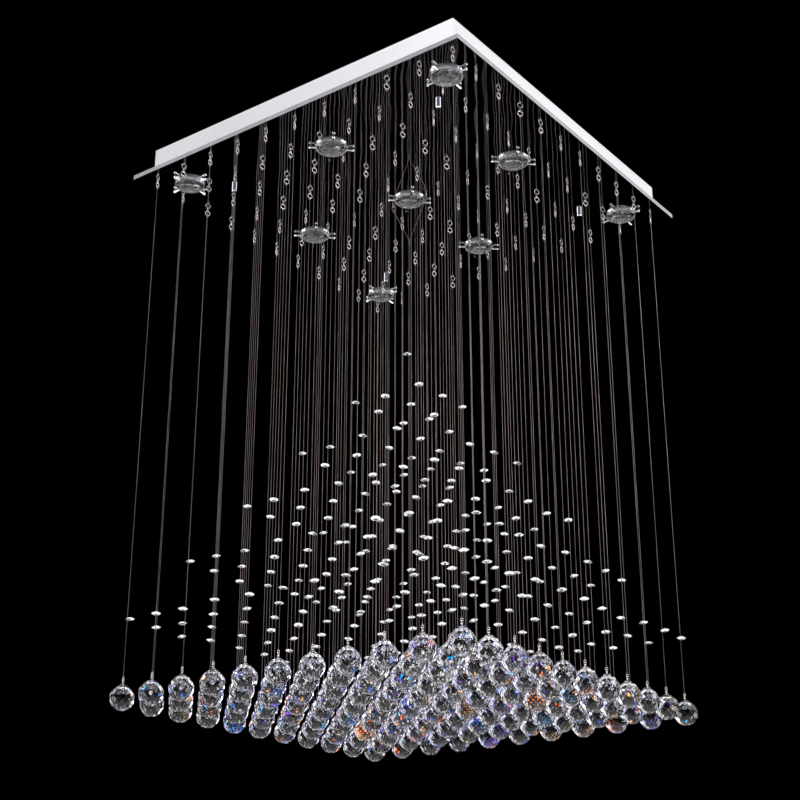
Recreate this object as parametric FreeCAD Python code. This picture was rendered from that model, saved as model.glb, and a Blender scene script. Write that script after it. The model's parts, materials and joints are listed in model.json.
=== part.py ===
import FreeCAD, Part
import math
import os

# A square crystal chandelier, in millimetres, +Z up. The origin is the middle of the ceiling
# plane, the top face of the ceiling box, and everything hangs down from it. A steel box is
# screwed to the ceiling and a mirror polished plate closes it from below. The plate carries
# nine spot lamps and a square grid of steel wires with beads and ball drops. Each row of
# wires runs along X and swings about the line through its eyes.

# ---- driving dimensions ----
# grid of strings
string_pitch = 64.0
strings_per_side = 11
plate_margin = 30.0           # from the outer strings to the edge of the plate
# ceiling box and plate
canopy_height = 62.0          # ceiling to the underside of the plate
sheet = 1.2
pan_inset = 25.0              # how far the box stands in from the edge of the plate
lip_height = 8.0
ceiling_screw_x = 360.0
ceiling_screw_y = 300.0
ceiling_hole = 5.5
vent_hole = 3.2
vent_pitch = 11.5
vent_count = 5
vent_from_corner = 134.0
vent_depth = 41.0             # below the ceiling
stud_thread = 5.0
stud_cells = 3.5              # the studs stand in the middle of a grid cell
stud_past_plate = 6.0
cap_nut_diameter = 9.0
cap_nut_height = 10.0
cap_nut_edge = 1.2            # bevel round its end
# wiring pieces
terminal_length = 40.0
terminal_width = 20.0
terminal_height = 16.0
terminal_pitch = 12.0
terminal_bore = 4.0
terminal_screw = 3.0
terminal_place = (-120.0, 40.0)
grommet_place = (-50.0, 100.0)
grommet_bore = 9.0
grommet_wall = 2.5
grommet_flange = 3.0
earth_place = (-140.0, 90.0)
earth_thread = 4.0
earth_length = 13.0
earth_nut_across = 7.0
earth_nut_height = 3.2
earth_nut_from_end = 3.25
earth_washer = 8.8
# lamps
corner_lamp_gap = 24.0        # lamp axis outwards from the fourth string line
side_lamp_gap = 32.0          # lamp axis outwards from the third string line
lamp_diameter = 49.4
lamp_length = 47.0
lamp_wall = 1.4
lamp_neck_diameter = 24.0
lamp_neck_length = 13.0
lamp_rim = 4.0
lamp_bulge = 0.66             # share of the way from neck to rim that it reaches half way up
lamp_hollow_bulge = 0.7       # the same inside
capsule_diameter = 8.0
pin_spacing = 10.0
pin_stem = 3.0
pin_head = 5.0
pin_stem_length = 2.4
pin_length = 7.0
pin_room = 0.3                # running room round the pins in the holder
twist_angle = 20.0
holder_diameter = 28.0
holder_face = 1.8
holder_roof = 3.2
ring_room = 0.5               # between the lamp and its ring
ring_wall = 1.4
ring_flange = 1.6
ring_flange_height = 1.2
ring_drop = 6.0               # below the plate
ring_stand = 5.0              # above the plate
ring_nut_height = 3.0
ring_nut_width = 1.6
lens_rim = 3.5
lens_dome = 4.6
lens_below_plate = 2.3        # plate underside to the flat back of the lens
lens_seat = 0.3
thumb_screw = 3.0
thumb_head = 5.2
thumb_head_length = 3.2
thumb_reach = 39.0            # lamp axis to the end of the head
thumb_screws_per_lamp = 4
bracket_width = 12.0
bracket_sheet = 1.2
bracket_reach = 34.0
bracket_foot = 10.0
boss_diameter = 6.0
boss_height = 4.0
bracket_screw = 3.0
screw_head = 5.4
screw_head_height = 1.8
holder_screw_reach = 11.0
holder_screw_depth = 2.4
screw_room = 0.2
# strings
eye_wire = 1.0
eye_neck = 0.8
eye_head = 3.6
eye_head_height = 1.4
ring_wire = 1.2
ring_diameter = 10.4
wire_diameter = 0.9
loop_room = 0.65              # more than the linked wire, inside a loop
link_gap = 0.1                # between two links that hang in each other
crimp_diameter = 1.8
crimp_length = 3.0
bead_crimp_length = 1.8
bridle_reach = 36.0
bridle_drop = 85.0
ferrule_diameter = 2.4
ferrule_length = 6.0
# beads
bead_diameter = 14.0
bead_thickness = 4.5
bead_table = 7.0
bead_sides = 8
bead_hole = 1.3
bead_hole_offset = 4.4
first_bead = 100.0            # above the top of the ball drop
bead_tier = 98.0
bead_scatter = 4.0            # the beads aren't crimped at quite the same height
golden = 0.6180339887         # spreads the beads' turns and heights evenly
tier_number = 7               # apart in the count that golden multiplies, from bead to bead
# ball drops
ball_diameter = 40.0
ball_point = 23.5             # centre to the flat tip
ball_tip = 4.4
ball_drop = 918.0             # plate underside to the ball's centre
ball_sides = 12
ball_rings = [(0.22, -1.0), (0.70, -0.72), (0.975, -0.24), (0.98, 0.24), (0.71, 0.68)]
ball_shoulder = (0.34, 0.985)
pin_wire = 0.9
pin_loop_room = 1.1
pin_depth = 5.0
pin_bore_room = 0.05
collar_diameter = 3.2
collar_height = 0.8

# ---- worked out from them ----
rows = range(1, strings_per_side + 1)
middle = (strings_per_side + 1) / 2
string_span = (strings_per_side - 1) * string_pitch
plate_side = string_span + 2 * plate_margin
pan_side = plate_side - 2 * pan_inset
plate_under = -canopy_height
plate_top = plate_under + sheet
eye_loop = ring_wire / 2 + loop_room + eye_wire / 2
pivot_z = plate_under - eye_neck - 2 * eye_loop
ring_loop = (ring_diameter - ring_wire) / 2
ring_centre = pivot_z + (eye_wire + ring_wire) / 2 + link_gap - ring_loop
wire_loop = ring_wire / 2 + loop_room + wire_diameter / 2
loop_shift = loop_room - link_gap
ball_centre = plate_under - ball_drop
tip_z = ball_centre + ball_point
pin_loop = wire_diameter / 2 + pin_loop_room + pin_wire / 2
pin_loop_z = tip_z + collar_height + pin_loop + link_gap
low_loop = pin_wire / 2 + pin_loop_room + wire_diameter / 2
low_loop_z = pin_loop_z + pin_loop - (pin_wire + wire_diameter) / 2 - link_gap + low_loop
wire_low = low_loop_z + low_loop
wire_high = ring_centre - ring_loop + ring_wire / 2 + wire_diameter / 2 + link_gap - 2 * wire_loop
corner_lamp = 4 * string_pitch + corner_lamp_gap
side_lamp = 3 * string_pitch + side_lamp_gap
stud_place = stud_cells * string_pitch
lens_back = plate_under - lens_below_plate
lamp_front = lens_back + lens_seat
lamp_back = lamp_front + lamp_length
holder_low = lamp_back + lens_seat
holder_high = lamp_back + pin_length + pin_room + holder_roof
lamp_radius = lamp_diameter / 2
ring_inner = lamp_radius + ring_room
sleeve_outer = ring_inner + ring_wall
lens_radius = ring_inner - ring_room

V = FreeCAD.Vector
up = V(0, 0, 1)


def cylinder(radius, low, high, x=0.0, y=0.0):
    return Part.makeCylinder(radius, high - low, V(x, y, low))


def tube(outer, inner, low, high, x=0.0, y=0.0):
    return cylinder(outer, low, high, x, y).cut(cylinder(inner, low, high, x, y))


def block(x0, x1, y0, y1, z0, z1):
    return Part.makeBox(x1 - x0, y1 - y0, z1 - z0, V(x0, y0, z0))


def square(side, low, high):
    return block(-side / 2, side / 2, -side / 2, side / 2, low, high)


def turned(edges):
    return Part.Face(Part.Wire(edges)).revolve(V(0, 0, 0), up, 360)


def lathe(points):
    corners = [V(radius, 0, z) for radius, z in points]
    return turned(Part.makePolygon(corners + corners[:1]).Edges)


def placed(shape, x, y, z=0.0, turn=0.0):
    copy = shape.copy()
    copy.rotate(V(0, 0, 0), up, turn)
    copy.translate(V(x, y, z))
    return copy


def torus(mean, thick, x, z, normal):
    return Part.makeTorus(mean, thick / 2, V(x, 0, z), normal)


def planar_solid(layers):
    # flat facets between rings of corners, each ring a list of points
    faces = []
    for lower, upper in zip(layers, layers[1:]):
        count = len(lower)
        for n in range(count):
            after = (n + 1) % count
            corners = [lower[n], lower[after], upper[after], upper[n]]
            faces.append(Part.Face(Part.makePolygon(corners + corners[:1])))
    for ring in (layers[0], layers[-1]):
        faces.append(Part.Face(Part.makePolygon(ring + ring[:1])))
    return Part.makeSolid(Part.makeShell(faces))


def corner_ring(radius, z, sides):
    turn = 2 * math.pi / sides
    return [V(radius * math.cos((n + 0.5) * turn), radius * math.sin((n + 0.5) * turn), z)
            for n in range(sides)]


def save(node, solids):
    Part.makeCompound(solids).exportStep("parts/" + node + ".step")


def lamp_places():
    # x, y and the way the holder's bracket runs, clear of the eyes
    c, s = corner_lamp, side_lamp
    corners = [(c, c, -45), (c, -c, 45), (-c, -c, -45), (-c, c, 45)]
    sides = [(s, 0, 90), (-s, 0, 90), (0, s, 0), (0, -s, 0)]
    return corners + sides + [(0, 0, 90)]


def string_places():
    # x and y of every string's eye; the middle string hangs from two eyes instead of one
    places = []
    for row in rows:
        for column in rows:
            x, y = grid_place(row, column)
            middle_string = row == middle and column == middle
            places += [(-bridle_reach, y), (bridle_reach, y)] if middle_string else [(x, y)]
    return places


def grid_place(row, column):
    return (column - middle) * string_pitch, (row - middle) * string_pitch


def at_lamps(shape, turned_with_bracket=True):
    return [placed(shape, x, y, 0, turn if turned_with_bracket else 0)
            for x, y, turn in lamp_places()]


# ---- ceiling box ----
def ceiling_pan():
    pan = square(pan_side, plate_top, 0).cut(square(pan_side - 2 * sheet, plate_top, -sheet))
    holes = []
    for x in (-ceiling_screw_x / 2, ceiling_screw_x / 2):
        for y in (-ceiling_screw_y / 2, ceiling_screw_y / 2):
            holes.append(cylinder(ceiling_hole / 2, -sheet, 0, x, y))
    holes.append(cylinder(grommet_bore / 2 + grommet_wall, -sheet, 0, *grommet_place))
    holes.append(cylinder(terminal_screw / 2, -sheet, 0, *terminal_place))
    first_vent = -pan_side / 2 + vent_from_corner - (vent_count - 1) / 2 * vent_pitch
    for n in range(vent_count):
        start = V(first_vent + n * vent_pitch, -pan_side / 2, -vent_depth)
        holes.append(Part.makeCylinder(vent_hole / 2, sheet, start, V(0, 1, 0)))
    return pan.cut(holes)


def bottom_plate():
    plate = square(plate_side, plate_under, plate_under + lip_height)
    plate = plate.cut(square(plate_side - 2 * sheet, plate_top, plate_under + lip_height))
    bosses = [cylinder(boss_diameter / 2, plate_under + sheet / 2, plate_top + boss_height, x, y)
              for x, y in foot_screw_places()]
    holes = [cylinder(bracket_screw / 2, plate_top, plate_top + boss_height, x, y)
             for x, y in foot_screw_places()]
    holes += [cylinder(sleeve_outer + screw_room, plate_under, plate_top, x, y)
              for x, y, turn in lamp_places()]
    holes += [cylinder(eye_wire / 2 + screw_room, plate_under, plate_top, x, y)
              for x, y in string_places()]
    holes += [cylinder(stud_thread / 2 + screw_room, plate_under, plate_top, x, y)
              for x, y in stud_places()]
    return plate.fuse(bosses).cut(holes)


def stud_places():
    return [(x * stud_place, y * stud_place) for x in (-1, 1) for y in (-1, 1)]


def threaded_studs():
    stud = cylinder(stud_thread / 2, plate_under - stud_past_plate, -sheet)
    return [placed(stud, x, y) for x, y in stud_places()]


def cap_nuts():
    radius, rim = cap_nut_diameter / 2, cap_nut_edge
    low, high = plate_under - cap_nut_height, plate_under
    outside = [(0, low), (radius - rim, low), (radius, low + rim), (radius, high), (0, high)]
    nut = lathe(outside).cut(cylinder(stud_thread / 2, high - stud_past_plate, high))
    return [placed(nut, x, y) for x, y in stud_places()]


# ---- wiring pieces ----
def cable_grommet():
    neck = grommet_bore / 2 + grommet_wall
    low = -sheet - grommet_flange
    outside = [(grommet_bore / 2, low), (neck + grommet_wall, low), (neck + grommet_wall, -sheet),
               (neck, -sheet), (neck, 0), (grommet_bore / 2, 0)]
    return placed(lathe(outside), *grommet_place)


def clamp_screw_places():
    # two clamp screws over each of the block's two wire bores
    x, y = terminal_place
    return [(x + side * terminal_pitch, y + end * terminal_width / 4)
            for side in (-1, 1) for end in (-1, 1)]


def terminal_block():
    x, y = terminal_place
    low = -sheet - terminal_height
    bore_z = -sheet - terminal_height / 2
    shape = block(x - terminal_length / 2, x + terminal_length / 2,
                  y - terminal_width / 2, y + terminal_width / 2, low, -sheet)
    holes = [cylinder(terminal_screw / 2 + screw_room, low, -sheet, x, y)]
    for side in (-1, 1):
        start = V(x + side * terminal_pitch, y - terminal_width / 2, bore_z)
        holes.append(Part.makeCylinder(terminal_bore / 2, terminal_width, start, V(0, 1, 0)))
    holes += [cylinder(terminal_screw / 2, low, bore_z, hx, hy)
              for hx, hy in clamp_screw_places()]
    return shape.cut(holes)


def terminal_screws():
    x, y = terminal_place
    low = -sheet - terminal_height
    clamp = cylinder(terminal_screw / 2, low, low + terminal_height / 2 - terminal_bore / 2)
    screws = [placed(clamp, hx, hy) for hx, hy in clamp_screw_places()]
    fixing = cylinder(terminal_screw / 2, low, 0).fuse(
        cylinder(screw_head / 2, low - screw_head_height, low))
    return screws + [placed(fixing, x, y)]


def hexagon(across, low, high):
    corners = corner_ring(across / math.sqrt(3), low, 6)
    face = Part.Face(Part.makePolygon(corners + corners[:1]))
    return face.extrude(V(0, 0, high - low))


def earth_terminal():
    radius = earth_thread / 2
    low = -sheet - earth_length
    nut_low = low + earth_nut_from_end
    nut_high = nut_low + earth_nut_height
    washer_high = nut_high + sheet
    stud = cylinder(radius, low, -sheet)
    nut = hexagon(earth_nut_across, nut_low, nut_high).cut(cylinder(radius, nut_low, nut_high))
    washer = tube(earth_washer / 2, radius, nut_high, washer_high)
    return [placed(piece, *earth_place) for piece in (stud, nut, washer)]


# ---- lamps ----
def arc_slot(reach, half_width, low, high):
    # a slot along part of a circle about the lamp's axis, round at both ends
    outer = Part.makeCylinder(reach + half_width, high - low, V(0, 0, low), up, twist_angle)
    inner = cylinder(reach - half_width, low, high)
    sector = outer.cut(inner)
    sector.rotate(V(0, 0, 0), up, -twist_angle)
    ends = [placed(cylinder(half_width, low, high, reach, 0), 0, 0, 0, turn)
            for turn in (0, -twist_angle)]
    return sector.fuse(ends)


def lamp_holder():
    reach = pin_spacing / 2
    face_top = holder_low + holder_face
    chamber_top = holder_high - holder_roof
    body = cylinder(holder_diameter / 2, holder_low, holder_high)
    cuts = []
    for half in (0, 180):
        chamber = arc_slot(reach, pin_head / 2 + pin_room, face_top, chamber_top)
        mouth = arc_slot(reach, pin_stem / 2 + pin_room, holder_low, face_top)
        entry = placed(cylinder(pin_head / 2 + pin_room, holder_low, face_top, reach, 0),
                       0, 0, 0, -twist_angle)
        cuts += [placed(shape, 0, 0, 0, half) for shape in (chamber, mouth, entry)]
    for x in (-holder_screw_reach, holder_screw_reach):
        cuts.append(cylinder(bracket_screw / 2, holder_high - holder_screw_depth, holder_high, x))
    return body.cut(cuts)


def holder_bracket():
    half, reach = bracket_width / 2, bracket_reach
    top = holder_high + bracket_sheet
    foot_low = plate_top + boss_height
    shape = block(-reach, reach, -half, half, holder_high, top)
    for side in (-1, 1):
        inner, outer = side * (reach - bracket_sheet), side * reach
        leg = block(min(inner, outer), max(inner, outer), -half, half, foot_low, top)
        tip = side * (reach + bracket_foot)
        foot = block(min(inner, tip), max(inner, tip), -half, half,
                     foot_low, foot_low + bracket_sheet)
        shape = shape.fuse([leg, foot])
    radius = bracket_screw / 2 + screw_room
    holes = [cylinder(radius, holder_high, top, x) for x in (-holder_screw_reach, holder_screw_reach)]
    foot_x = reach + bracket_foot / 2
    holes += [cylinder(radius, foot_low, foot_low + bracket_sheet, x) for x in (-foot_x, foot_x)]
    return shape.removeSplitter().cut(holes)


def foot_screw_places():
    foot_x = bracket_reach + bracket_foot / 2
    places = []
    for x, y, turn in lamp_places():
        for side in (-foot_x, foot_x):
            angle = math.radians(turn)
            places.append((x + side * math.cos(angle), y + side * math.sin(angle)))
    return places


def bracket_screws():
    top = holder_high + bracket_sheet
    screw = cylinder(bracket_screw / 2, holder_high - holder_screw_depth, top).fuse(
        cylinder(screw_head / 2, top, top + screw_head_height))
    foot_top = plate_top + boss_height + bracket_sheet
    foot_screw = cylinder(bracket_screw / 2, plate_top, foot_top).fuse(
        cylinder(screw_head / 2, foot_top, foot_top + screw_head_height))
    screws = []
    for x in (-holder_screw_reach, holder_screw_reach):
        screws += at_lamps(placed(screw, x, 0))
    return screws + [placed(foot_screw, x, y) for x, y in foot_screw_places()]


def lamp_ring():
    low, high = plate_under - ring_drop, plate_top + ring_stand
    flange_low = plate_under - ring_flange_height
    flange = sleeve_outer + ring_flange
    outside = [(ring_inner, low), (sleeve_outer, low), (sleeve_outer, flange_low),
               (flange, flange_low), (flange, plate_under), (sleeve_outer, plate_under),
               (sleeve_outer, high), (ring_inner, high)]
    return lathe(outside).cut(thumb_screw_set(ring_inner - ring_wall, False))


def ring_nut():
    return tube(sleeve_outer + ring_nut_width, sleeve_outer, plate_top, plate_top + ring_nut_height)


def thumb_screw_set(tip, with_heads=True):
    # screws that point at the lens from all round, each turned from a profile along its axis
    middle_z = lens_back - lens_rim / 2
    screws = []
    for n in range(thumb_screws_per_lamp):
        neck = thumb_reach - thumb_head_length
        screw = Part.makeCylinder(thumb_screw / 2, neck - tip, V(tip, 0, middle_z), V(1, 0, 0))
        if with_heads:
            half = thumb_head_length / 2
            head = Part.makeCylinder(thumb_head / 2, half, V(neck, 0, middle_z), V(1, 0, 0))
            dome = Part.makeCone(thumb_head / 2, thumb_head / 4, half,
                                 V(neck + half, 0, middle_z), V(1, 0, 0))
            screw = screw.fuse([head, dome])
        screws.append(placed(screw, 0, 0, 0, 45 + n * 360 / thumb_screws_per_lamp))
    return screws


def lamp_lens():
    low = lens_back - lens_rim
    edge = V(lens_radius, 0, low)
    bottom = V(0, 0, low - lens_dome)
    sphere = (lens_radius ** 2 + lens_dome ** 2) / (2 * lens_dome)
    half_way = lens_radius / 2
    dip = sphere - math.sqrt(sphere ** 2 - half_way ** 2)
    dome = Part.Arc(edge, V(half_way, 0, low - lens_dome + dip), bottom).toShape()
    centre, back = V(0, 0, lens_back), V(lens_radius, 0, lens_back)
    sides = [Part.LineSegment(bottom, centre).toShape(), Part.LineSegment(centre, back).toShape(),
             Part.LineSegment(back, edge).toShape()]
    return turned([dome] + sides)


def lamp_bulb():
    # reflector with its base and pins, front glass and the small burner inside
    neck = lamp_neck_diameter / 2
    neck_low = lamp_back - lamp_neck_length
    glass_top = lamp_front + lamp_rim / 2
    floor = lamp_front + lamp_length / 2
    inner_rim = lamp_radius - lamp_wall
    ledge = inner_rim - lamp_wall
    rim_top = lamp_front + lamp_rim
    bulge_z = (rim_top + neck_low) / 2
    bulge = neck + lamp_bulge * (lamp_radius - neck)
    low_arc = Part.Arc(V(lamp_radius, 0, rim_top), V(bulge, 0, bulge_z), V(neck, 0, neck_low))
    burner_seat = capsule_diameter / 2 + lamp_wall
    inner_bulge = burner_seat + lamp_hollow_bulge * (ledge - burner_seat)
    high_arc = Part.Arc(V(burner_seat, 0, floor), V(inner_bulge, 0, (floor + glass_top) / 2),
                        V(ledge, 0, glass_top))
    chain = [(neck, neck_low), (neck, lamp_back), (0, lamp_back), (0, floor), (burner_seat, floor)]
    rest = [(ledge, glass_top), (inner_rim, glass_top), (inner_rim, lamp_front),
            (lamp_radius, lamp_front), (lamp_radius, rim_top)]
    edges = [low_arc.toShape()]
    for run in (chain, rest):
        points = [V(radius, 0, z) for radius, z in run]
        edges += [Part.LineSegment(a, b).toShape() for a, b in zip(points, points[1:])]
    edges.append(high_arc.toShape())
    body = turned(Part.__sortEdges__(edges))
    pins = []
    for x in (-pin_spacing / 2, pin_spacing / 2):
        stem_top = lamp_back + pin_stem_length
        pins += [cylinder(pin_stem / 2, lamp_back - lamp_wall, stem_top, x),
                 cylinder(pin_head / 2, stem_top, lamp_back + pin_length, x)]
    glass = cylinder(inner_rim, lamp_front + lens_seat, glass_top)
    radius = capsule_diameter / 2
    burner_low = floor - 2 * capsule_diameter
    burner = cylinder(radius, burner_low + radius, floor).fuse(
        Part.makeSphere(radius, V(0, 0, burner_low + radius)))
    return [body.fuse(pins), glass, burner]


# ---- strings ----
def string_eye():
    loop = torus(eye_loop, eye_wire, 0, plate_under - eye_neck - eye_loop, V(0, 1, 0))
    shank = cylinder(eye_wire / 2, plate_under - eye_neck, plate_top + eye_head_height)
    head = cylinder(eye_head / 2, plate_top, plate_top + eye_head_height)
    return loop.fuse([shank, head])


def split_ring():
    return torus(ring_loop, ring_wire, 0, ring_centre, V(1, 0, 0))


def bead_heights(row, column):
    # heights of the beads' undersides: one bead at the edge of the grid, one more per ring
    count = min(row, column, strings_per_side + 1 - row, strings_per_side + 1 - column)
    heights = []
    for n in range(count):
        number = bead_number(row, column, n)
        scatter = bead_scatter * (2 * (number * golden % 1) - 1)
        heights.append(tip_z + first_bead + n * bead_tier + scatter - bead_thickness / 2)
    return heights


def bead_number(row, column, n):
    return (row * strings_per_side + column) * strings_per_side + tier_number * n


def wire_profile(row, column, top):
    # half of the wire's outline, thicker where a crimp is pressed on it
    wire, crimp = wire_diameter / 2, crimp_diameter / 2
    outline = [(0, wire_low), (crimp, wire_low), (crimp, wire_low + crimp_length),
               (wire, wire_low + crimp_length)]
    for height in bead_heights(row, column):
        low = height - bead_crimp_length
        outline += [(wire, low), (crimp, low), (crimp, height), (wire, height)]
    return outline + [(wire, top - crimp_length), (crimp, top - crimp_length), (crimp, top), (0, top)]


def string_wire(row, column):
    low = torus(low_loop, wire_diameter, 0, low_loop_z, V(0, 1, 0))
    if row == middle and column == middle:
        top = plate_under - bridle_drop - ferrule_length
        return lathe(wire_profile(row, column, top)).fuse(low)
    high = torus(wire_loop, wire_diameter, 0, wire_high + wire_loop, V(0, 1, 0))
    return lathe(wire_profile(row, column, wire_high)).fuse([low, high])


def eye_pin():
    loop = torus(pin_loop, pin_wire, 0, pin_loop_z, V(1, 0, 0))
    collar = cylinder(collar_diameter / 2, tip_z, tip_z + collar_height + link_gap)
    shank = cylinder(pin_wire / 2, tip_z - pin_depth, tip_z)
    return collar.fuse([loop, shank])


def centre_bridle():
    # two rings in their eyes and the two slanted legs that meet in a ferrule
    ring_bottom = ring_centre - ring_loop
    meet_z = plate_under - bridle_drop
    ferrule = cylinder(ferrule_diameter / 2, meet_z - ferrule_length, meet_z + ferrule_diameter)
    legs = []
    for side in (-1, 1):
        start = V(side * bridle_reach, 0, ring_bottom)
        along = V(-side * bridle_reach, 0, meet_z - ring_bottom).normalize()
        loop_at = start + along * loop_shift
        loop = torus(wire_loop, wire_diameter, loop_at.x, loop_at.z, V(0, 1, 0))
        leg_start = loop_at + along * wire_loop
        length = (V(0, 0, meet_z) - leg_start).Length
        wire = Part.makeCylinder(wire_diameter / 2, length, leg_start, along)
        crimp = Part.makeCylinder(crimp_diameter / 2, crimp_length, leg_start, along)
        legs.append(loop.fuse([wire, crimp]).cut(ferrule))
    rings = [placed(split_ring(), side * bridle_reach, 0) for side in (-1, 1)]
    return rings + legs + [ferrule]


def octagon_bead():
    half, edge = bead_thickness / 2, bead_diameter / 2
    corner = edge / math.cos(math.pi / bead_sides)
    layers = [corner_ring(bead_table / 2, -half, bead_sides), corner_ring(corner, 0, bead_sides),
              corner_ring(bead_table / 2, half, bead_sides)]
    holes = [cylinder(bead_hole / 2, -half, half, x) for x in (-bead_hole_offset, bead_hole_offset)]
    bead = planar_solid(layers).cut(holes)
    bead.translate(V(-bead_hole_offset, 0, half))
    return bead


def ball_drop_shape():
    radius = ball_diameter / 2
    outline = [(share * radius, height * radius) for share, height in ball_rings + [ball_shoulder]]
    outline.append((ball_tip / 2, ball_point))
    layers = [corner_ring(r / math.cos(math.pi / ball_sides), z, ball_sides) for r, z in outline]
    bore = cylinder(pin_wire / 2 + pin_bore_room, ball_point - pin_depth, ball_point)
    return placed(planar_solid(layers).cut(bore), 0, 0, ball_centre)


def save_rows():
    ring, pin, bead, ball = split_ring(), eye_pin(), octagon_bead(), ball_drop_shape()
    for row in rows:
        wires, beads, balls = [], [], []
        for column in rows:
            x, y = grid_place(row, column)
            if not (row == middle and column == middle):
                wires.append(placed(ring, x, y))
            wires += [placed(string_wire(row, column), x, y), placed(pin, x, y)]
            balls.append(placed(ball, x, y))
            for n, height in enumerate(bead_heights(row, column)):
                turn = 360 * (bead_number(row, column, n) * golden % 1)
                beads.append(placed(bead, x, y, height, turn))
        name = "row_%02d_" % row
        save(name + "wires", wires)
        save(name + "beads", beads)
        save(name + "balls", balls)


def save_all():
    os.makedirs("parts", exist_ok=True)
    save("ceiling_pan", [ceiling_pan()])
    save("bottom_plate", [bottom_plate()])
    save("threaded_studs", threaded_studs())
    save("cap_nuts", cap_nuts())
    save("cable_grommet", [cable_grommet()])
    save("terminal_block", [terminal_block()])
    save("terminal_screws", terminal_screws())
    save("earth_terminal", earth_terminal())
    save("lamp_holders", at_lamps(lamp_holder()))
    save("holder_brackets", at_lamps(holder_bracket()))
    save("bracket_screws", bracket_screws())
    save("lamp_rings", at_lamps(lamp_ring()))
    save("ring_nuts", at_lamps(ring_nut()))
    save("lamp_lenses", at_lamps(lamp_lens()))
    screws = thumb_screw_set(lens_radius)
    save("thumb_screws", [moved for screw in screws for moved in at_lamps(screw)])
    bulb = lamp_bulb()
    for number, (x, y, turn) in enumerate(lamp_places(), 1):
        save("lamp_bulb_%d" % number, [placed(piece, x, y, 0, turn) for piece in bulb])
    eye = string_eye()
    save("string_eyes", [placed(eye, x, y) for x, y in string_places()])
    save("centre_bridle", centre_bridle())
    save_rows()


save_all()
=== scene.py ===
import bpy
import json
import math
import numpy as np
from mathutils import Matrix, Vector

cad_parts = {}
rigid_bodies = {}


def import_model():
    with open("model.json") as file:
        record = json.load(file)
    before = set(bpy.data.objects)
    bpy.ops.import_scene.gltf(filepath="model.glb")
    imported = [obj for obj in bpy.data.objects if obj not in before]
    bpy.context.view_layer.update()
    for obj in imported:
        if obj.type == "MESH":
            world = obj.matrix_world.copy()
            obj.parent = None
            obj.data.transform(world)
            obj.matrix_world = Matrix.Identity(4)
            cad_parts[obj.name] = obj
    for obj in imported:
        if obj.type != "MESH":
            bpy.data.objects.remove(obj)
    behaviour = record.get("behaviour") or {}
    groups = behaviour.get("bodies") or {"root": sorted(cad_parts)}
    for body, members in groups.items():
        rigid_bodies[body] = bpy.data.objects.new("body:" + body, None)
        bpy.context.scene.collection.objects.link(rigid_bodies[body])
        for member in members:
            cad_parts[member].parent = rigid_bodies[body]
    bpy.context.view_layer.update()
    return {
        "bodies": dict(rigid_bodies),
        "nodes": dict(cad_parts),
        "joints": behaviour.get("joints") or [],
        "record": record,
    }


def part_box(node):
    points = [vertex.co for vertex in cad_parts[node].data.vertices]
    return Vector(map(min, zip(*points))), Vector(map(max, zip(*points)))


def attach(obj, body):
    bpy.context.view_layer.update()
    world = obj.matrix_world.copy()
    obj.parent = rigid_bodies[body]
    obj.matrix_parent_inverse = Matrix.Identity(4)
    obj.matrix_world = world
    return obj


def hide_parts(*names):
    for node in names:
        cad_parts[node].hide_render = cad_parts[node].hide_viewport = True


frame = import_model()

# Crystal chandelier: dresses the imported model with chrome, mirror, wire and cut crystal.

nodes = frame["nodes"]
rowNames = sorted(name for name in frame["bodies"] if name.startswith("row_"))
bulbNames = sorted(name for name in frame["bodies"] if name.startswith("bulb_"))
pivots = {joint["child"]: joint["pos_m"] for joint in frame["joints"]}
pitch = pivots[rowNames[1]][1] - pivots[rowNames[0]][1]
columns = len(rowNames)
print("frame loaded:", len(nodes), "nodes,", columns, "rows, pitch", round(pitch, 4))


# a shape is an array of points and a list of face arrays, one for each number of corners

def newPiece(name, shape, body, material, smooth=False):
    points, faces = shape
    mesh = bpy.data.meshes.new(name)
    mesh.from_pydata(points.tolist(), [], [face for group in faces for face in group.tolist()])
    mesh.polygons.foreach_set("use_smooth", np.full(len(mesh.polygons), smooth))
    mesh.materials.append(material)
    mesh.update()
    piece = bpy.data.objects.new(name, mesh)
    bpy.context.scene.collection.objects.link(piece)
    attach(piece, body)
    return piece


def gridFaces(rows, around, closed=False):
    # quads between neighbours of a grid that is closed across, and along too if asked
    last = rows if closed else rows - 1
    r, c = np.meshgrid(np.arange(last), np.arange(around), indexing="ij")
    nextRow, nextColumn = (r + 1) % rows, (c + 1) % around
    quads = np.stack([r * around + c, r * around + nextColumn,
                      nextRow * around + nextColumn, nextRow * around + c], -1)
    return quads.reshape(-1, 4)


def lathe(profile, around):
    # radius times (cos turn, sin turn) at the profile's height, with a flat cap at both ends
    radius, height = np.asarray(profile, float).T[:, :, None]
    turn = np.arange(around)[None, :] * 2 * math.pi / around
    points = np.stack([radius * np.cos(turn), radius * np.sin(turn),
                       np.broadcast_to(height, (len(radius), around))], -1).reshape(-1, 3)
    ring = np.arange(around)[None, :]
    caps = [ring[:, ::-1], ring + len(points) - around]
    return points, [gridFaces(len(radius), around)] + caps


def hoop(mean, thick, around, sides, turned=False):
    # wire bent to a circle: the big turn goes round in the XZ plane, or YZ if turned, and the
    # small turn round the wire moves the point out by its cosine and across by its sine
    big = np.arange(around)[:, None] * 2 * math.pi / around
    small = np.arange(sides)[None, :] * 2 * math.pi / sides
    reach = mean + thick / 2 * np.cos(small)
    out, up = reach * np.cos(big), reach * np.sin(big)
    across = np.broadcast_to(thick / 2 * np.sin(small), out.shape)
    points = np.stack([-across, out, up] if turned else [out, across, up], -1)
    return points.reshape(-1, 3), [gridFaces(around, sides, closed=True)]


def lifted(shape, height):
    return shape[0] + (0.0, 0.0, height), shape[1]


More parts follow.
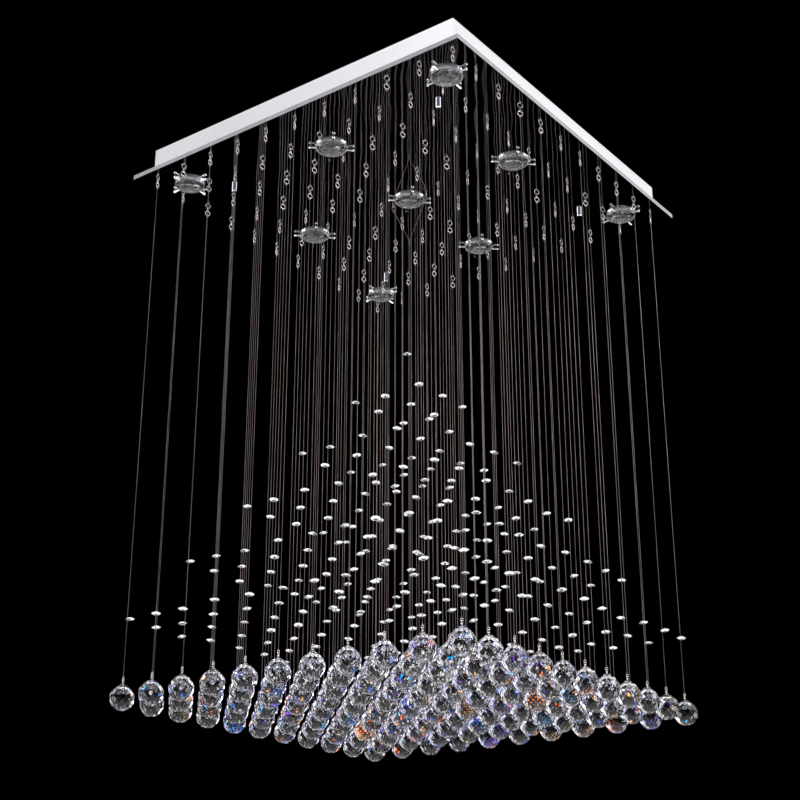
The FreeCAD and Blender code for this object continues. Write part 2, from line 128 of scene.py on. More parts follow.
def copies(shape, places, turns=0.0):
    # the shape turned about Z by each turn and moved to each place
    points, faces = shape
    places = np.asarray(places)
    turns = np.broadcast_to(turns, len(places))
    c, s = np.cos(turns)[:, None], np.sin(turns)[:, None]
    x, y, z = points.T
    height = np.broadcast_to(z, (len(turns), len(z)))
    spun = np.stack([c * x - s * y, s * x + c * y, height], -1)
    step = (np.arange(len(turns)) * len(points))[:, None, None]
    return ((spun + places[:, None]).reshape(-1, 3),
            [(group[None] + step).reshape(-1, group.shape[1]) for group in faces])


def joined(shapes):
    starts = np.cumsum([0] + [len(points) for points, faces in shapes])
    moved = [group + start for (points, faces), start in zip(shapes, starts) for group in faces]
    return np.concatenate([points for points, faces in shapes]), moved


def stringPlaces(name):
    # x and y of a row's strings, each a pitch from the next
    x = (np.arange(columns) - (columns - 1) / 2) * pitch
    return np.stack([x, np.full(columns, pivots[name][1]), np.zeros(columns)], -1)


class Wire:
    # one value in a shader: sums and products of wires add Math nodes
    def __init__(self, board, socket):
        self.board, self.socket = board, socket

    def maths(self, operation, first, second):
        return self.board.node("ShaderNodeMath", {"operation": operation}, [first, second])

    def __add__(self, other):
        return self.maths("ADD", self, other)

    def __radd__(self, other):
        return self.maths("ADD", other, self)

    def __mul__(self, other):
        return self.maths("MULTIPLY", self, other)

    def __rmul__(self, other):
        return self.maths("MULTIPLY", other, self)


class Board:
    # the nodes of a material or of the world
    def __init__(self, tree):
        self.tree = tree

    def feed(self, socket, value):
        if isinstance(value, Wire):
            self.tree.links.new(value.socket, socket)
        elif isinstance(value, (tuple, list)) and len(value) == 3 and socket.type == "RGBA":
            socket.default_value = (*value, 1.0)
        else:
            socket.default_value = value

    def node(self, kind, settings, sockets, output=0):
        made = self.tree.nodes.new(kind)
        for name, value in settings.items():
            if name == "stops":
                ramp = made.color_ramp
                while len(ramp.elements) < len(value):
                    ramp.elements.new(1.0)
                for element, (place, colour) in zip(ramp.elements, value):
                    element.position, element.color = place, (*colour, 1.0)
            else:
                setattr(made, name, value)
        pairs = sockets.items() if isinstance(sockets, dict) else enumerate(sockets)
        for name, value in pairs:
            self.feed(made.inputs[name], value)
        return Wire(self, made.outputs[output])

    def ramp(self, value, *stops, interpolation="LINEAR"):
        made = self.node("ShaderNodeValToRGB", {"stops": stops}, {"Fac": value})
        made.socket.node.color_ramp.interpolation = interpolation
        return made


class Paint(Board):
    # a material with one Principled shader; fixed values go straight on its sockets
    def __init__(self, name, **values):
        self.material = bpy.data.materials.new(name)
        self.material.use_nodes = True
        super().__init__(self.material.node_tree)
        self.shader = self.tree.nodes["Principled BSDF"]
        self.set(**values)

    def set(self, **values):
        for name, value in values.items():
            self.feed(self.shader.inputs[name.replace("_", " ")], value)

    def place(self):
        return self.node("ShaderNodeTexCoord", {}, {}, "Object")

    def noise(self, scale, detail=2.0, stretch=(1, 1, 1)):
        spread = self.node("ShaderNodeMapping", {}, {"Vector": self.place(), "Scale": stretch})
        return self.node("ShaderNodeTexNoise", {},
                         {"Vector": spread, "Scale": scale, "Detail": detail})

    def bump(self, height, distance):
        self.set(Normal=self.node("ShaderNodeBump", {},
                                  {"Height": height, "Distance": distance, "Strength": 1.0}))


def moulded(low, high, rough, **fixed):
    # moulded, fired or turned small pieces: two near tones, uneven gloss and a fine grain
    return {"fixed": fixed, "grain": (150, 3), "tints": ((0.3, low), (0.7, high)),
            "rough": rough, "uneven": (0.15, 0.0), "dents": 0.00005}


finishes = {
    # fixed: values of the shader; grain and marks: scale, detail and stretch of two noises, the
    # second the same as the first if not given; tints: two colours over the grain; rough, and
    # uneven: what grain and marks add to it; dents: how deep the marks are, in metres
    "boxChrome": {      # polished sheet with faint wiping marks along it
        "fixed": {"Metallic": 1.0}, "grain": (7, 2), "marks": (60, 3, (0.05, 0.05, 1.0)),
        "tints": ((0.3, (0.90, 0.90, 0.92)), (0.75, (0.86, 0.86, 0.89))),
        "rough": 0.12, "uneven": (0.06, 0.10), "dents": 0.00004},
    "mirrorPlate": {    # rolled mirror sheet: it bends what it shows in long soft waves
        "fixed": {"Metallic": 1.0}, "grain": (45, 3), "marks": (20, 0),
        "tints": ((0.3, (0.52, 0.52, 0.54)), (0.8, (0.42, 0.42, 0.44))),
        "rough": 0.015, "uneven": (0.03, 0.0), "dents": 0.00022},
    "brightChrome": {
        "fixed": {"Metallic": 1.0}, "grain": (300, 3),
        "tints": ((0.35, (0.88, 0.88, 0.90)), (0.8, (0.74, 0.73, 0.75))),
        "rough": 0.05, "uneven": (0.12, 0.0), "dents": 0.00003},
    "stringSteel": {    # drawn wire: fine lines along it and a warm tone that comes and goes
        "fixed": {"Metallic": 1.0}, "grain": (18, 2), "marks": (900, 2, (1.0, 1.0, 0.02)),
        "tints": ((0.35, (0.165, 0.135, 0.13)), (0.7, (0.30, 0.265, 0.255))),
        "rough": 0.30, "uneven": (0.0, 0.2), "dents": 0.00003},
    "ringNickel": {     # plated rings and loops: brighter and warmer than the wire
        "fixed": {"Metallic": 1.0}, "grain": (240, 2),
        "tints": ((0.35, (0.90, 0.80, 0.74)), (0.7, (0.98, 0.94, 0.90))),
        "rough": 0.08, "uneven": (0.14, 0.0), "dents": 0.00004},
    "zincSteel": {
        "fixed": {"Metallic": 1.0}, "grain": (220, 4),
        "tints": ((0.3, (0.55, 0.56, 0.58)), (0.7, (0.70, 0.71, 0.72))),
        "rough": 0.3, "uneven": (0.25, 0.0), "dents": 0.00006},
    "reflectorCoat": {  # vacuum coated facets, a little uneven
        "fixed": {"Metallic": 1.0}, "grain": (160, 3),
        "tints": ((0.3, (0.97, 0.97, 0.98)), (0.8, (0.86, 0.87, 0.89))),
        "rough": 0.10, "uneven": (0.24, 0.0)},
    "lensGlass": {
        "fixed": {"IOR": 1.5, "Transmission_Weight": 1.0}, "grain": (80, 2),
        "tints": ((0.3, (1.0, 1.0, 1.0)), (0.8, (0.96, 0.97, 0.98))),
        "rough": 0.0, "uneven": (0.02, 0.0), "dents": 0.0010},
    "paleFloor": {
        "fixed": {}, "grain": (6, 4),
        "tints": ((0.3, (0.80, 0.80, 0.79)), (0.8, (0.776, 0.776, 0.7663))),
        "rough": 0.55, "uneven": (0.15, 0.0)},
    "blackRubber": moulded((0.02, 0.02, 0.02), (0.05, 0.05, 0.05), 0.55),
    "whiteNylon": moulded((0.78, 0.77, 0.72), (0.88, 0.87, 0.83), 0.35),
    "firedCeramic": moulded((0.80, 0.78, 0.72), (0.90, 0.88, 0.84), 0.45),
    "nickelBrass": moulded((0.62, 0.50, 0.26), (0.78, 0.66, 0.38), 0.25, Metallic=1.0),
}


def finish(name):
    look = finishes[name]
    paint = Paint(name, **look["fixed"])
    grain = paint.noise(*look["grain"])
    marks = paint.noise(*look["marks"]) if "marks" in look else grain
    rough = look["rough"]
    for share, noise in zip(look["uneven"], (grain, marks)):
        if share:
            rough = rough + share * noise
    paint.set(Roughness=rough, Base_Color=paint.ramp(grain, *look["tints"]))
    if "dents" in look:
        paint.bump(marks, look["dents"])
    return paint.material


crystalLook = {
    "index": 1.56, "sheen": 0.15, "clear": (0.97, 0.97, 1.0),
    "polish": (400, 2), "uneven": 0.012,        # noise of the polish and the roughness it adds
    # painted fire: a coloured tint and glow painted on a few facets, standing for the light
    # that cut crystal splits into colours; colours, share of the facets that have it, share of
    # these that glow, how far up the ball it goes in radii, how strong the tint and the glow
    # are; a noise cuts it to patches
    "fire": [(0.005, 0.07, 0.70), (0.01, 0.10, 0.80), (0.01, 0.16, 0.75), (0.0, 0.36, 0.80),
             (0.90, 0.17, 0.01), (0.95, 0.40, 0.02), (0.16, 0.04, 0.60)],
    "fireShare": 0.12, "glowShare": 0.5, "fireBelow": 0.3, "fireTint": 0.20, "glow": 1.5,
    "patch": (300, 1), "patchEdge": (0.56, 0.60), "tableFacing": -0.95,
}


def cutCrystal(name):
    # the facets carry their own tints: most are clear, and a few carry a painted tint and a
    # painted glow in small patches, which stand for the fire of cut crystal, the coloured light
    # it splits and throws
    look = crystalLook
    paint = Paint(name, IOR=look["index"], Transmission_Weight=1.0,
                  Specular_IOR_Level=look["sheen"], Emission_Strength=look["glow"])
    # the attributes carry the glass tint with the painted fire, and the painted glow of the
    # fire
    tint = paint.node("ShaderNodeAttribute", {"attribute_name": "facetTint"}, {}, "Color")
    fire = paint.node("ShaderNodeAttribute", {"attribute_name": "facetFire"}, {}, "Color")
    start, stop = look["patchEdge"]
    patch = paint.ramp(paint.noise(*look["patch"]), (start, (0, 0, 0)), (stop, (1, 1, 1)))
    # sockets 6 and 7 and output 2 are a Mix node's colours
    flash = paint.node("ShaderNodeMix", {"data_type": "RGBA", "blend_type": "MULTIPLY"},
                       {"Factor": 1.0, 6: fire, 7: patch}, 2)
    paint.set(Base_Color=tint, Emission_Color=flash,
              Roughness=look["uneven"] * paint.noise(*look["polish"]))
    return paint.material


beadLook = {
    # tint, share of the light let through and glow of the flat tables and of the bevels: the
    # dark table tint is painted shade, and the white bevels with their glow are a painted
    # sparkle
    "table": ((0.20, 0.20, 0.22), 0.9, 0.0), "bevel": ((1.0, 1.0, 1.0), 0.1, 0.22),
    "cells": 220.0, "shades": [(0.0, 1.0), (0.55, 0.88), (0.90, 0.62)],
    "polish": (500, 2), "rough": 0.02, "uneven": 0.05,
}


def beadCrystal(name, tint, through, glow):
    # small cut beads: bevels are painted white, throw most of the light back and glow a little,
    # a painted sparkle, and tables are tinted dark, a painted shade; cells of three shades are
    # painted light and shade of the facets
    look = beadLook
    paint = Paint(name, IOR=crystalLook["index"], Transmission_Weight=through,
                  Emission_Color=(1.0, 1.0, 1.0), Emission_Strength=glow)
    # painted light and shade: cells of three brightnesses stand for facets that catch more or
    # less light
    cells = paint.node("ShaderNodeTexVoronoi", {},
                       {"Vector": paint.place(), "Scale": look["cells"]}, "Color")
    pick = paint.node("ShaderNodeSeparateColor", {}, [cells])
    stops = [(place, tuple(shade * part for part in tint)) for place, shade in look["shades"]]
    paint.set(Base_Color=paint.ramp(pick, *stops, interpolation="CONSTANT"),
              Roughness=look["rough"] + look["uneven"] * paint.noise(*look["polish"]))
    return paint.material


slotPaint = {
    "box_chrome": finish("boxChrome"), "mirror_plate": finish("mirrorPlate"),
    "bright_chrome": finish("brightChrome"), "string_steel": finish("stringSteel"),
    "zinc_steel": finish("zincSteel"), "lens_glass": finish("lensGlass"),
    # the beads' tables: tinted dark, a painted shade
    "bead_crystal": beadCrystal("beadTable", *beadLook["table"]),
    "black_rubber": finish("blackRubber"), "white_plastic": finish("whiteNylon"),
    "white_ceramic": finish("firedCeramic"), "terminal_brass": finish("nickelBrass"),
}
slotOf = {part["node"]: part["material_slot"] for part in frame["record"]["subparts"]}
for name, node in nodes.items():
    if slotOf[name] in slotPaint:
        node.data.materials.clear()
        node.data.materials.append(slotPaint[slotOf[name]])
print("CAD pieces painted")


ballLook = {
    "around": 12,
    # corner rings of the pear, low to high: radius and height as shares of the ball's radius
    "outline": [(0.20, -0.978), (0.46, -0.885), (0.68, -0.727), (0.855, -0.507),
                (0.965, -0.245), (1.0, 0.035), (0.955, 0.285), (0.85, 0.50), (0.67, 0.70),
                (0.46, 0.87), (0.25, 1.02), (0.08, 1.17)],
    "share": 0.995,     # of the solid's radius
    "turnSeed": 5,
}


def facetBall():
    # rings of corners, odd rings half a step round; each rhombic facet spans two bands, with
    # triangles in the lowest and highest band and a flat table at both ends
    around, outline = ballLook["around"], np.array(ballLook["outline"])
    odd = np.arange(len(outline)) % 2
    turn = (np.arange(around)[None, :] + odd[:, None] / 2) * 2 * math.pi / around
    points = np.stack([outline[:, :1] * np.cos(turn), outline[:, :1] * np.sin(turn),
                       np.broadcast_to(outline[:, 1:], turn.shape)], -1).reshape(-1, 3)
    ring, step = np.meshgrid(np.arange(1, len(outline) - 1), np.arange(around), indexing="ij")
    # the corners beside a facet's lower corner are at the same step and one step back or on
    left = ring * around + (step + odd[ring - 1] - 1) % around
    right = ring * around + (step + odd[ring - 1]) % around
    lower, upper = (ring - 1) * around + step, (ring + 1) * around + step
    rhombs = np.stack([lower, right, upper, left], -1)
    low = np.arange(around)
    top, below = (len(outline) - 1) * around, (len(outline) - 2) * around
    between = odd[-2]
    lowest = np.stack([low, (low + 1) % around, around + low], -1)
    highest = np.stack([top + (low + 1) % around, top + low,
                        below + (low + 1 - between) % around], -1)
    return points, [rhombs.reshape(-1, 4), lowest, highest, low[None, ::-1], top + low[None]]


def paintFacets(mesh, level, radius, random):
    # a tint and a painted glow for every facet: clear for most, and a painted fire of coloured
    # light on a few; the fire is in the lower part of the ball, and not on the table underneath
    look = crystalLook
    count = len(mesh.polygons)
    centres, normals = np.empty(3 * count), np.empty(3 * count)
    mesh.polygons.foreach_get("center", centres)
    mesh.polygons.foreach_get("normal", normals)
    low = ((centres[2::3] < level + look["fireBelow"] * radius)
           & (normals[2::3] > look["tableFacing"]))
    fire = np.array(look["fire"])[random.integers(0, len(look["fire"]), count)]
    lit = ((random.random(count) < look["fireShare"]) & low)[:, None]
    # facets with the fire get a painted tint, and some of them a painted glow, for the coloured
    # light of cut crystal
    tint = np.where(lit, 1 - look["fireTint"] * (1 - fire), np.array(look["clear"]))
    glow = np.where(lit & (random.random((count, 1)) < look["glowShare"]), fire, 0.0)
    for name, colour in (("facetTint", tint), ("facetFire", glow)):
        layer = mesh.attributes.new(name, "FLOAT_COLOR", "FACE")
        layer.data.foreach_set("color", np.hstack([colour, np.ones((count, 1))]).ravel())


def ballDrops():
    random = np.random.default_rng(ballLook["turnSeed"])
    crystal = cutCrystal("ballCrystal")
    points, faces = facetBall()
    for name in rowNames:
        low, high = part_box(name + "_balls")
        radius = (high.y - low.y) / 2 * ballLook["share"]
        places = stringPlaces(name) + (0.0, 0.0, low.z + radius)
        turns = random.random(columns) * 2 * math.pi
        piece = newPiece(name + "_ballDrops", copies((points * radius, faces), places, turns),
                         name, crystal)
        paintFacets(piece.data, low.z + radius, radius, random)
        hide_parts(name + "_balls")


ballDrops()
print("ball drops cut")


stringLook = {
    # mean radius and thickness of each bent wire, corners along it and round it
    "ring": (0.0046, 0.0012, 22, 6), "wireLoop": (0.0017, 0.0009, 14, 5),
    "lowLoop": (0.0020, 0.0009, 14, 5), "eye": (0.00175, 0.0010, 14, 6),
    "ringTurn": 0.4, "linkRoom": 0.0001,
    # radius of the wire and of its crimps, and how long the ones at its ends are
    "wire": 0.00045, "crimp": 0.0009, "crimpLong": 0.003, "wireSides": 6,
    # the ball's pin, and radius and height of its collar and of the eyes' heads
    "pinDepth": 0.005, "pinSides": 5, "collar": (0.0016, 0.0009),
    "eyeHead": (0.0018, 0.0014), "turnedSides": 8, "seed": 8,
    # beads: lowest one over the ball, from tier to tier, and the uneven crimping
    "firstBead": 0.100, "tier": 0.098, "scatter": 0.004, "golden": 0.6180339887,
    "tierNumber": 7, "beadThick": 0.0045, "beadCrimp": 0.0018, "beadTilt": 0.20,
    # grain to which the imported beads' points are merged, and how level a table is
    "merge": 0.000005, "tableFacing": 0.9,
}


def beadHeights(row, column):
    # heights of a string's beads over the tip of its ball, by the part's own formula
    count = min(row, column, columns + 1 - row, columns + 1 - column)
    n = np.arange(count)
    number = (row * columns + column) * columns + stringLook["tierNumber"] * n
    scatter = stringLook["scatter"] * (2 * (number * stringLook["golden"] % 1) - 1)
    return stringLook["firstBead"] + n * stringLook["tier"] + scatter


def wire(heights, low, high):
    # the wire's outline, thicker at its two ends and under each bead, turned round its axis
    look = stringLook
    thin, thick = look["wire"], look["crimp"]
    seats = [(z - look["beadCrimp"], z) for z in heights]
    crimps = [(low, low + look["crimpLong"])] + seats + [(high - look["crimpLong"], high)]
    outline = []
    for start, stop in crimps:
        outline += [(thin, start), (thick, start), (thick, stop), (thin, stop)]
    return lathe(outline[1:-1], look["wireSides"])


def rowWires(number, name):
    # from the ball up: the pin's shank, collar and loop, and the wire's low loop; from the eye
    # down: the split ring and the wire's high loop
    look = stringLook
    node = name + "_wires"
    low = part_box(node)[0].z
    bridleLow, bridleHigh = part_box("centre_bridle")
    places = stringPlaces(name)
    collarWide, collarHigh = look["collar"]
    ringReach, ringThick = look["ring"][:2]
    highReach, highThick = look["wireLoop"][:2]
    lowReach, lowThick = look["lowLoop"][:2]
    tip = low + look["pinDepth"]
    pinLoop = tip + collarHigh + lowReach
    lowLoop = pinLoop + 2 * lowReach - lowThick - look["linkRoom"]
    wireLow = lowLoop + lowReach
    ring = bridleHigh.z - ringReach - ringThick / 2
    topLoop = ring - ringReach + ringThick / 2 + look["linkRoom"] + highThick / 2 - highReach
    wireHigh = topLoop - highReach
    hung = np.full(columns, True)
    if number == (columns + 1) / 2:
        hung[columns // 2] = False      # the centre string hangs from the bridle
    random = np.random.default_rng(look["seed"] + number)
    turns = (random.random(columns) * 2 - 1) * look["ringTurn"]
    hooks = [copies(lifted(hoop(*look["ring"], turned=True), ring), places[hung], turns[hung]),
             copies(lifted(hoop(*look["wireLoop"]), topLoop), places[hung])]
    collar = lathe([(collarWide, tip), (collarWide, tip + collarHigh)], look["turnedSides"])
    shank = lathe([(look["wire"], low), (look["wire"], tip)], look["pinSides"])
    feet = [lifted(hoop(*look["lowLoop"]), lowLoop), collar, shank,
            lifted(hoop(*look["lowLoop"], turned=True), pinLoop)]
    hooks += [copies(shape, places) for shape in feet]
    wires = []
    for column in range(columns):
        heights = tip + beadHeights(number, column + 1) - look["beadThick"] / 2
        top = wireHigh if hung[column] else bridleLow.z
        wires.append(copies(wire(heights, wireLow, top), places[column:column + 1]))
    strings = newPiece(name + "_strings", joined(wires), name, slotPaint["string_steel"])
    links = newPiece(name + "_links", joined(hooks), name, nickel, smooth=True)
    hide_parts(node)


def rowBeads(number, name):
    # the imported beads, points merged, each tilted a little about its own wire
    look = stringLook
    packed = nodes[name + "_beads"].data
    loose = np.empty(3 * len(packed.vertices))
    packed.vertices.foreach_get("co", loose)
    corners = np.empty(3 * len(packed.polygons), int)
    packed.polygons.foreach_get("vertices", corners)
    grains = np.round(loose.reshape(-1, 3) / look["merge"]).astype(int)
    merged, which = np.unique(grains, axis=0, return_inverse=True)
    points = merged * look["merge"]
    faces = which.reshape(-1)[corners].reshape(-1, 3)
    first, second, third = faces.T
    faces = faces[(first != second) & (second != third) & (third != first)]
    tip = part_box(name + "_wires")[0].z + look["pinDepth"]
    place = stringPlaces(name)
    column = np.clip(np.round((points[:, 0] - place[0, 0]) / pitch), 0, columns - 1).astype(int)
    tier = np.round((points[:, 2] - tip - look["firstBead"]) / look["tier"]).astype(int)
    random = np.random.default_rng(look["seed"] * columns + number)
    tilt = (random.random((columns, columns, 2)) * 2 - 1)[column, tier] * look["beadTilt"]
    seats = np.array([np.resize(beadHeights(number, n + 1), columns) for n in range(columns)])
    hub = np.stack([place[column, 0], place[column, 1], tip + seats[column, tier]], -1)
    x, y, z = (points - hub).T
    a, b = tilt.T
    x, z = x * np.cos(a) + z * np.sin(a), z * np.cos(a) - x * np.sin(a)
    y, z = y * np.cos(b) - z * np.sin(b), z * np.cos(b) + y * np.sin(b)
    piece = newPiece(name + "_cutBeads", (hub + np.stack([x, y, z], -1), [faces]), name,
                     slotPaint["bead_crystal"])
    piece.data.materials.append(bevelCrystal)
    normals = np.empty(3 * len(faces))
    piece.data.polygons.foreach_get("normal", normals)
    bevelled = abs(normals[2::3]) < look["tableFacing"]
    piece.data.polygons.foreach_set("material_index", bevelled.astype(int))
    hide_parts(name + "_beads")


def stringEyes():
    # a loop on a headed stem for every string, and two beside the centre lamp for the bridle
    look = stringLook
    low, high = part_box("string_eyes")
    reach, thick = look["eye"][:2]
    head, headHigh = look["eyeHead"]
    loop = lifted(hoop(*look["eye"]), low.z + reach + thick / 2)
    stem = lathe([(thick / 2, low.z + 2 * reach), (thick / 2, high.z - headHigh),
                  (head, high.z - headHigh), (head, high.z)], look["turnedSides"])
    places = np.concatenate([stringPlaces(name) for name in rowNames])
    middle = len(places) // 2
    bridleLow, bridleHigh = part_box("centre_bridle")
    reachX = (bridleHigh.x - bridleLow.x) / 2 - look["ring"][1] / 2
    twins = np.array([(-reachX, 0, 0), (reachX, 0, 0)])
    places = np.concatenate([places[:middle], twins, places[middle + 1:]])
    piece = newPiece("string_hooks", joined([copies(loop, places), copies(stem, places)]),
                     "canopy", nickel)
    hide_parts("string_eyes")


# the bevels: white with a glow, a painted sparkle
bevelCrystal, nickel = beadCrystal("beadBevel", *beadLook["bevel"]), finish("ringNickel")
for number, name in enumerate(rowNames, 1):
    rowWires(number, name)
    rowBeads(number, name)
stringEyes()
print("strings hung")


bulbLook = {
    # housing: wall, height of the rim and of the pins behind, and the neck
    "wall": 0.0014, "rim": 0.004, "pins": 0.007, "neck": 0.012, "neckLong": 0.013,
    "sideCurve": 1.35, "sideSteps": 8, "sides": 48,
    # reflector: depth of the bowl, radius where the capsule sits, facets round and down
    "depth": 0.0215, "seat": 0.0046, "facets": 24, "facetRows": 7,
    # capsule and the coil in it: radius, length, and how the round tip is cut up
    "capsule": 0.0040, "capsuleLong": 0.011, "tipFrom": 0.2, "tipSteps": 5,
    "capsuleSides": 16, "coil": 0.0008, "coilSides": 8,
}


def bulb(name):
    look = bulbLook
    low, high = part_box("lamp_" + name)
    centre = np.array([(low.x + high.x) / 2, (low.y + high.y) / 2, 0.0])
    radius, front, base = (high.x - low.x) / 2, low.z, high.z - look["pins"]
    wall, rim, neck = look["wall"], look["rim"], look["neck"]
    coat = wall / 3
    # bowl: a parabola, height falling with the square of the radius; its cells stay flat facets
    mouth = radius - 2 * wall
    share = np.linspace(look["seat"] / mouth, 1, look["facetRows"] + 1)
    bowl = np.stack([mouth * share, front + wall + look["depth"] * (1 - share ** 2)], -1)
    back = bowl + coat
    # side: from the rim in to the neck, steep at first, the radius falling with a power of the
    # share of the height
    share = np.linspace(0, 1, look["sideSteps"] + 1)[1:]
    side = np.stack([radius + (neck - radius) * share ** look["sideCurve"],
                     front + rim + share * (base - look["neckLong"] - front - rim)], -1)
    housing = (back + coat).tolist()
    housing += [(radius - wall, front), (radius, front + coat), (radius, front + rim)]
    housing += side.tolist() + [(neck, base - coat), (neck - coat, base)]
    # capsule: a half ball's radius and height by the sine and cosine of a turn, then straight
    size, tipZ, hang = look["capsule"], bowl[0, 1] - look["capsuleLong"], bowl[0, 1]
    turn = np.linspace(look["tipFrom"], math.pi / 2, look["tipSteps"])
    capsule = np.stack([size * np.sin(turn), tipZ - size * np.cos(turn)], -1).tolist()
    capsule += [(size, hang)]
    coil = look["coil"]
    filament = [(coil / 2, tipZ), (coil, tipZ + coil), (coil, hang - coil), (coil / 2, hang)]
    bowl = bowl.tolist() + back[::-1].tolist()
    pieces = {
        "housing": (lathe(housing, look["sides"]), slotPaint["white_ceramic"], False),
        "reflector": (lathe(bowl, look["facets"]), reflector, False),
        "capsule": (lathe(capsule, look["capsuleSides"]), slotPaint["lens_glass"], True),
        "filament": (lathe(filament, look["coilSides"]), slotPaint["zinc_steel"], False),
    }
    for part, (shape, material, smooth) in pieces.items():
        piece = newPiece(name + "_" + part, copies(shape, [centre]), name, material, smooth)
        if part == "housing":
            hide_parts("lamp_" + name)


lensLook = {
    # lens: radius, radius of its round edge, and the part of the radius that the dome covers
    "radius": 0.0262, "edge": 0.0016, "edgeSteps": 7, "dome": (0.03, 0.97), "domeSteps": 9,
    # ring: wall, how far it hangs under the plate, and its flange
    "ringWall": 0.0012, "ringDrop": 0.0018, "flange": 0.0016, "flangeThick": 0.0012,
    "sides": 48,
}


def lampFronts():
    # lens: a flat back, a round edge, and a dome whose height rises with the square of the
    # radius; ring: a slim sleeve with a flange under the plate
    look = lensLook
    low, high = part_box("lamp_lenses")
    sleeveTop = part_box("lamp_rings")[1].z
    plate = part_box("bottom_plate")[0].z
    centres = []
    for name in bulbNames:
        corner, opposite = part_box("lamp_" + name)
        centres.append(((corner.x + opposite.x) / 2, (corner.y + opposite.y) / 2, 0.0))
    inner, edge = look["radius"], look["edge"]
    turn = np.linspace(math.pi / 2, -math.pi / 2, look["edgeSteps"])
    middle = high.z - edge
    rim = np.stack([inner - edge + edge * np.cos(turn), middle + edge * np.sin(turn)], -1)[::-1]
    share = np.linspace(*look["dome"], look["domeSteps"])
    dome = np.stack([(inner - edge) * share, low.z + (rim[0, 1] - low.z) * share ** 2], -1)
    lens = lathe(dome.tolist() + rim.tolist(), look["sides"])
    outer, bottom = inner + look["ringWall"], plate - look["ringDrop"]
    flange, flangeLow = outer + look["flange"], plate - look["flangeThick"]
    profile = [(inner, sleeveTop), (inner, bottom), (outer, bottom), (outer, flangeLow),
               (flange, flangeLow), (flange, plate), (outer, plate), (outer, sleeveTop)]
    ring = lathe(profile, look["sides"])
    ring = ring[0], [gridFaces(len(profile), look["sides"], closed=True)]
    glass = newPiece("lens_glasses", copies(lens, centres), "canopy",
                     slotPaint["lens_glass"], smooth=True)
    chrome = newPiece("lens_rings", copies(ring, centres), "canopy",
                      slotPaint["bright_chrome"])
    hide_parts("lamp_lenses")
    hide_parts("lamp_rings")


reflector = finish("reflectorCoat")
for name in bulbNames:
    bulb(name)
lampFronts()
print("lamps made")


stageLook = {
    "floorHeight": -4.5, "floorSide": 8.4, "backdrop": (0.0, 0.0, 0.0), "fill": 0.95,
    # what metal and glass see: levels from the side away from darkSide to darkSide, times
    # levels from straight down to straight up, times a strength
    "darkSide": (-0.556, 0.742, 0.375), "roomTint": (0.93, 0.93, 1.0),
    "metalRoom": [(0.0, 0.05), (0.28, 0.10), (0.38, 1.0), (0.55, 1.0), (0.64, 0.0)],
    "metalHeight": [(0.0, 1.0), (0.44, 0.8), (0.54, 0.07), (0.80, 0.07), (0.88, 1.0)],
    "metalStrength": 5.0,
    "glassRoom": [(0.0, 0.0), (0.34, 0.02), (0.44, 1.0), (0.69, 1.0), (0.79, 0.0)],
    "glassHeight": [(0.0, 1.0), (0.10, 1.0), (0.20, 0.25), (0.45, 0.25), (0.66, 1.0)],
    "glassStrength": 3.9,
    "camera": (1.4193, -1.9222, -1.4271), "heading": 36.854, "pitchUp": 22.12,
    "lens": 67.48, "sensor": 36.0,
}


def floor():
    half, z = stageLook["floorSide"] / 2, stageLook["floorHeight"]
    mesh = bpy.data.meshes.new("floor")
    corners = [(-half, -half, z), (half, -half, z), (half, half, z), (-half, half, z)]
    mesh.from_pydata(corners, [], [(0, 1, 2, 3)])
    mesh.materials.append(finish("paleFloor"))
    slab = bpy.data.objects.new("floor", mesh)
    bpy.context.scene.collection.objects.link(slab)


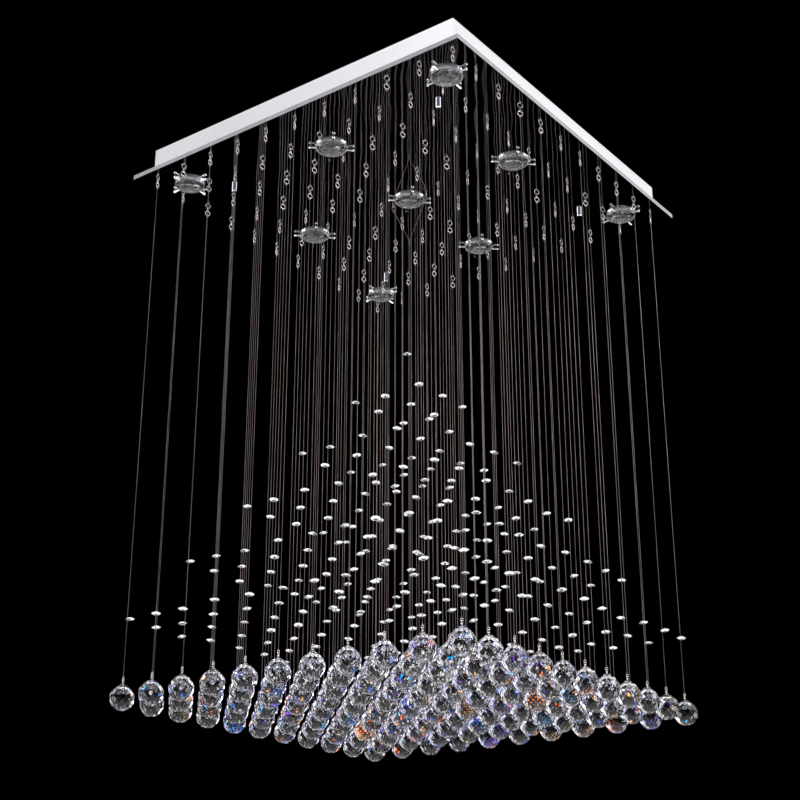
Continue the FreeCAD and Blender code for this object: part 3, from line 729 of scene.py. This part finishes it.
def world():
    # matt surfaces get a soft even light; metal and glass see a studio with bright and dark
    # sides, brighter than that light; the eye sees a plain dark backdrop
    look = stageLook
    sky = bpy.data.worlds.new("studio")
    sky.use_nodes = True
    bpy.context.scene.world = sky
    studio = Board(sky.node_tree)
    studio.tree.nodes.clear()
    way = studio.node("ShaderNodeTexCoord", {}, {}, "Generated")
    height = studio.node("ShaderNodeSeparateXYZ", {}, [way], "Z")
    side = studio.node("ShaderNodeVectorMath", {"operation": "DOT_PRODUCT"},
                       [way, look["darkSide"]], "Value")

    def levels(value, stops):
        # a value from -1 to 1 looked up in a list of (place from 0 to 1, level)
        greys = [(place, (level,) * 3) for place, level in stops]
        return studio.ramp(value * 0.5 + 0.5, *greys)

    def background(colour, strength):
        return studio.node("ShaderNodeBackground", {}, [colour, strength])

    def room(name):
        level = levels(side, look[name + "Room"]) * levels(height, look[name + "Height"])
        return background(look["roomTint"], level * look[name + "Strength"])

    def forRays(kind, others, these):
        rays = studio.node("ShaderNodeLightPath", {}, {}, kind)
        return studio.node("ShaderNodeMixShader", {}, [rays, others, these])

    seen = forRays("Is Glossy Ray", background((1.0, 1.0, 1.0), look["fill"]), room("metal"))
    seen = forRays("Is Transmission Ray", seen, room("glass"))
    seen = forRays("Is Camera Ray", seen, background(look["backdrop"], 1.0))
    studio.feed(studio.tree.nodes.new("ShaderNodeOutputWorld").inputs["Surface"], seen)


softboxes = {
    # name: (place, aim, width, height, watts)
    "leftCard": ((-1.9, -2.3, 1.8), (0.0, -0.3, 0.0), 3.2, 2.4, 11),
    "rightCard": ((2.0, 2.9, 2.0), (0.3, 0.0, 0.0), 3.2, 2.4, 24),
    "glintLeft": ((-2.4, -1.2, 0.6), (0.0, 0.0, -0.5), 0.5, 1.2, 14),
    "glintRight": ((2.6, 0.6, 0.7), (0.0, 0.0, -0.5), 0.5, 1.2, 14),
    "glintLow": ((0.7, -1.6, -2.3), (0.0, 0.0, -0.9), 0.4, 0.4, 4),
}


def lights():
    for name, (place, aim, width, height, watts) in softboxes.items():
        data = bpy.data.lights.new(name, "AREA")
        data.shape, data.size, data.size_y, data.energy = "RECTANGLE", width, height, watts
        box = bpy.data.objects.new(name, data)
        bpy.context.scene.collection.objects.link(box)
        box.location = place
        way = np.array(aim) - np.array(place)
        across = math.hypot(way[0], way[1])
        box.rotation_euler = (math.atan2(across, -way[2]), 0.0, math.atan2(-way[0], way[1]))
        box.visible_camera = False


def camera():
    data = bpy.data.cameras.new("photoView")
    data.lens, data.sensor_width = stageLook["lens"], stageLook["sensor"]
    eye = bpy.data.objects.new("photoView", data)
    bpy.context.scene.collection.objects.link(eye)
    eye.location = stageLook["camera"]
    eye.rotation_euler = (math.radians(90 + stageLook["pitchUp"]), 0.0,
                          math.radians(stageLook["heading"]))
    bpy.context.scene.camera = eye
    bpy.context.scene.view_settings.view_transform = "Standard"


floor()
world()
lights()
camera()
print("stage set")
